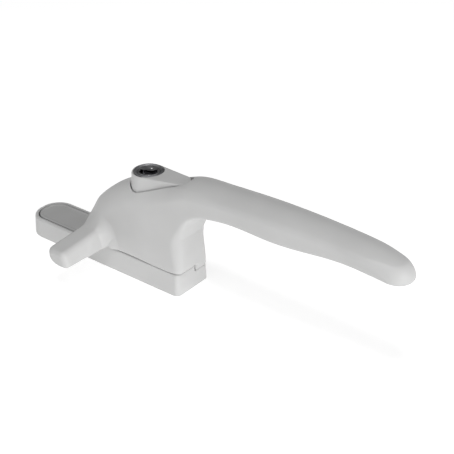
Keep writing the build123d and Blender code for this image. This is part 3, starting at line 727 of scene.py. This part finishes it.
# ---- materials ------------------------------------------------------------------------------------
class Finish:
    """A node material built step by step. Texture scales are in repeats per metre."""

    def __init__(self, name, colour, roughness, metallic=0.0):
        self.material = bpy.data.materials.new(name)
        self.material.use_nodes = True
        self.nodes = self.material.node_tree.nodes
        self.links = self.material.node_tree.links
        self.shader = self.nodes["Principled BSDF"]
        self.shader.inputs["Base Color"].default_value = (*colour, 1)
        self.shader.inputs["Roughness"].default_value = roughness
        self.shader.inputs["Metallic"].default_value = metallic
        self.place = self.nodes.new("ShaderNodeTexCoord").outputs["Object"]
        self.height = None

    def noise(self, size_mm, detail=3.0, stretch=(1, 1, 1)):
        """Noise whose grains are about this size."""
        mapping = self.nodes.new("ShaderNodeMapping")
        mapping.inputs["Scale"].default_value = stretch
        self.links.new(self.place, mapping.inputs["Vector"])
        texture = self.nodes.new("ShaderNodeTexNoise")
        texture.inputs["Scale"].default_value = 1000 / size_mm
        texture.inputs["Detail"].default_value = detail
        self.links.new(mapping.outputs["Vector"], texture.inputs["Vector"])
        return texture.outputs["Fac"]

    def ramp(self, value, low, high):
        """A value spread to a new range."""
        spread = self.nodes.new("ShaderNodeMapRange")
        spread.inputs["From Min"].default_value = 0.3
        spread.inputs["From Max"].default_value = 0.7
        spread.inputs["To Min"].default_value = low
        spread.inputs["To Max"].default_value = high
        self.links.new(value, spread.inputs["Value"])
        return spread.outputs["Result"]

    def tint(self, value, first, second):
        """Colour that varies between two with the value."""
        band = self.nodes.new("ShaderNodeValToRGB")
        band.color_ramp.elements[0].position = 0.3
        band.color_ramp.elements[0].color = (*first, 1)
        band.color_ramp.elements[1].position = 0.7
        band.color_ramp.elements[1].color = (*second, 1)
        self.links.new(value, band.inputs["Fac"])
        self.links.new(band.outputs["Color"], self.shader.inputs["Base Color"])

    def rough(self, value, low, high):
        self.links.new(self.ramp(value, low, high), self.shader.inputs["Roughness"])

    def bump(self, value, depth_mm, strength=1.0):
        """One more layer of surface relief."""
        relief = self.nodes.new("ShaderNodeBump")
        relief.inputs["Distance"].default_value = depth_mm * MM
        relief.inputs["Strength"].default_value = strength
        self.links.new(value, relief.inputs["Height"])
        if self.height is not None:
            self.links.new(self.height, relief.inputs["Normal"])
        self.height = relief.outputs["Normal"]
        self.links.new(self.height, self.shader.inputs["Normal"])


def white_coat():
    """Satin powder coat: soft orange peel, a finer grain in it and faint clouding."""
    finish = Finish("white_powder_coat", (0.575, 0.575, 0.572), 0.42)
    finish.tint(finish.noise(14, 2), (0.553, 0.553, 0.55), (0.583, 0.583, 0.58))
    finish.rough(finish.noise(0.9, 3), 0.40, 0.52)
    finish.bump(finish.noise(1.6, 2), 0.012)
    finish.bump(finish.noise(0.35, 2), 0.003)
    finish.shader.inputs["Specular IOR Level"].default_value = 0.4
    return finish.material


def white_plastic():
    """Fine spark-textured moulding."""
    finish = Finish("white_moulding", (0.66, 0.66, 0.655), 0.5)
    finish.tint(finish.noise(9, 2), (0.45, 0.45, 0.447), (0.48, 0.48, 0.477))
    finish.rough(finish.noise(0.5, 3), 0.42, 0.55)
    finish.bump(finish.noise(0.28, 3), 0.006)
    return finish.material


def acetal():
    finish = Finish("natural_acetal", (0.86, 0.85, 0.80), 0.4)
    finish.tint(finish.noise(5, 2), (0.83, 0.82, 0.76), (0.88, 0.87, 0.83))
    finish.rough(finish.noise(0.8, 2), 0.32, 0.48)
    finish.bump(finish.noise(0.4, 2), 0.003)
    finish.shader.inputs["Subsurface Weight"].default_value = 0.15
    finish.shader.inputs["Subsurface Radius"].default_value = (0.001, 0.001, 0.0008)
    return finish.material


def zinc_plate():
    """Bright zinc: cool clouded patches and fine turning marks."""
    finish = Finish("zinc_plated_steel", (0.62, 0.63, 0.66), 0.34, 1.0)
    finish.tint(finish.noise(3.2, 4), (0.52, 0.54, 0.58), (0.72, 0.72, 0.72))
    finish.rough(finish.noise(1.1, 4), 0.24, 0.44)
    finish.bump(finish.noise(0.5, 3, (1, 1, 6)), 0.006)
    return finish.material


def spring_steel():
    finish = Finish("oiled_spring_steel", (0.33, 0.33, 0.35), 0.36, 1.0)
    finish.tint(finish.noise(1.5, 3), (0.22, 0.22, 0.24), (0.42, 0.42, 0.44))
    finish.rough(finish.noise(0.6, 3), 0.25, 0.48)
    finish.bump(finish.noise(0.3, 2), 0.003)
    return finish.material


def chrome(name, colour, dark, smooth, dull):
    """Plated zinc with light handling marks, its roughness between the last two numbers."""
    finish = Finish(name, colour, smooth, 1.0)
    finish.tint(finish.noise(2.0, 4), dark, colour)
    finish.rough(finish.noise(0.7, 4), smooth, dull)
    finish.bump(finish.noise(0.5, 4, (1, 5, 1)), 0.002)
    return finish.material


def brass():
    finish = Finish("rolled_brass", (0.78, 0.58, 0.28), 0.32, 1.0)
    finish.tint(finish.noise(1.8, 3), (0.62, 0.43, 0.18), (0.82, 0.64, 0.34))
    finish.rough(finish.noise(0.6, 3, (1, 8, 1)), 0.22, 0.42)
    finish.bump(finish.noise(0.3, 2, (1, 8, 1)), 0.003)
    return finish.material


def make_finishes():
    return {
        "white_coat": white_coat(),
        "white_cap": white_plastic(),
        "acetal": acetal(),
        "zinc_steel": zinc_plate(),
        "spring_steel": spring_steel(),
        "chrome_zinc": chrome("chromed_barrel", (0.55, 0.55, 0.57), (0.40, 0.40, 0.42), 0.08, 0.22),
        "chrome_face": chrome("chromed_lock_face", (0.55, 0.55, 0.56), (0.26, 0.26, 0.27), 0.02, 0.10),
        # trim ring: its chrome is given a dark colour as a painted dark reflection
        "dark_reflection_rim": chrome("chrome_rim_dark_reflection", (0.34, 0.34, 0.35), (0.20, 0.20, 0.21), 0.48, 0.62),
        "brass_wafer": brass(),
    }


def paint(obj, material):
    obj.data.materials.clear()
    obj.data.materials.append(material)


# ---- stage ----------------------------------------------------------------------------------------
FLOOR_HALF = 3.0
FLOOR_Z = -0.0003           # just under the mounting face
FLOOR_GLOW = 0.62


def make_floor():
    """Pale light table: a diffuse top that also glows a little from below."""
    mesh = bpy.data.meshes.new("light_table")
    corners = [(x * FLOOR_HALF, y * FLOOR_HALF, 0) for x, y in ((-1, -1), (1, -1), (1, 1), (-1, 1))]
    mesh.from_pydata(corners, [], [(0, 1, 2, 3)])
    floor = bpy.data.objects.new("light_table", mesh)
    floor.location.z = FLOOR_Z
    bpy.context.scene.collection.objects.link(floor)
    finish = Finish("light_table", (0.7, 0.7, 0.7), 0.9)
    finish.rough(finish.noise(30, 2), 0.85, 0.95)
    finish.shader.inputs["Emission Color"].default_value = (1, 1, 1, 1)
    finish.shader.inputs["Emission Strength"].default_value = FLOOR_GLOW
    paint(floor, finish.material)


BRIGHT_SIDE = (0.5, -0.75, 0.4)     # direction in which the studio's walls are brightest
DIM_WALL = 0.05
BRIGHT_WALL = 0.54


def make_world():
    """Studio tent: a bright wall in front of the object, dim behind it."""
    world = bpy.data.worlds.new("studio")
    bpy.context.scene.world = world
    world.use_nodes = True
    nodes = world.node_tree.nodes
    links = world.node_tree.links
    direction = nodes.new("ShaderNodeTexCoord").outputs["Generated"]
    facing = nodes.new("ShaderNodeVectorMath")
    facing.operation = "DOT_PRODUCT"
    facing.inputs[1].default_value = BRIGHT_SIDE
    links.new(direction, facing.inputs[0])
    spread = nodes.new("ShaderNodeMapRange")
    spread.inputs["From Min"].default_value = -1
    links.new(facing.outputs["Value"], spread.inputs["Value"])
    band = nodes.new("ShaderNodeValToRGB")
    steps = band.color_ramp.elements
    steps[0].color = (DIM_WALL, DIM_WALL, DIM_WALL, 1)
    steps[1].color = (BRIGHT_WALL, BRIGHT_WALL, BRIGHT_WALL, 1)
    links.new(spread.outputs["Result"], band.inputs["Fac"])
    links.new(band.outputs["Color"], nodes["Background"].inputs["Color"])
    nodes["Background"].inputs["Strength"].default_value = 1.0


def area_light(name, place, aim, size, power):
    light = bpy.data.lights.new(name, "AREA")
    light.shape = "DISK"
    light.size = size
    light.energy = power
    lamp = bpy.data.objects.new(name, light)
    lamp.location = place
    lamp.rotation_euler = (Vector(aim) - Vector(place)).to_track_quat("-Z", "Y").to_euler()
    bpy.context.scene.collection.objects.link(lamp)


def make_lights():
    middle = (0.03, 0.0, 0.025)
    area_light("right_panel", (0.88, -0.15, 0.22), middle, 0.5, 3.0)
    area_light("high_right", (0.16, -0.19, 0.74), middle, 0.2, 1.65)


CAMERA_PLACE = (0.22725, -0.22582, 0.19331)
CAMERA_ELEVATION = 29.84    # degrees
CAMERA_AZIMUTH = 37.69
LENS = 79.3                 # millimetres
SENSOR_WIDTH = 36.0


def make_camera():
    data = bpy.data.cameras.new("camera")
    data.sensor_width = SENSOR_WIDTH
    data.lens = LENS
    camera = bpy.data.objects.new("camera", data)
    camera.location = CAMERA_PLACE
    camera.rotation_euler = (math.radians(90 - CAMERA_ELEVATION), 0, math.radians(CAMERA_AZIMUTH))
    bpy.context.scene.collection.objects.link(camera)
    bpy.context.scene.camera = camera


# ---- make it --------------------------------------------------------------------------------------
make_camera()
finishes = make_finishes()
slot_of = {s["node"]: s["material_slot"] for s in frame["record"]["subparts"]}
for node, obj in frame["nodes"].items():
    paint(obj, finishes[slot_of[node]])
# the trim ring's chrome carries a painted dark reflection in its colour
paint(frame["nodes"]["trim_ring"], finishes["dark_reflection_rim"])
paint(make_handle(), finishes["white_coat"])
paint(make_base(), finishes["white_coat"])
paint(make_cap(), finishes["white_cap"])
paint(make_button(), finishes["white_coat"])
paint(make_spring(), finishes["spring_steel"])
make_floor()
make_world()
make_lights()
bpy.context.scene.view_settings.view_transform = "Standard"
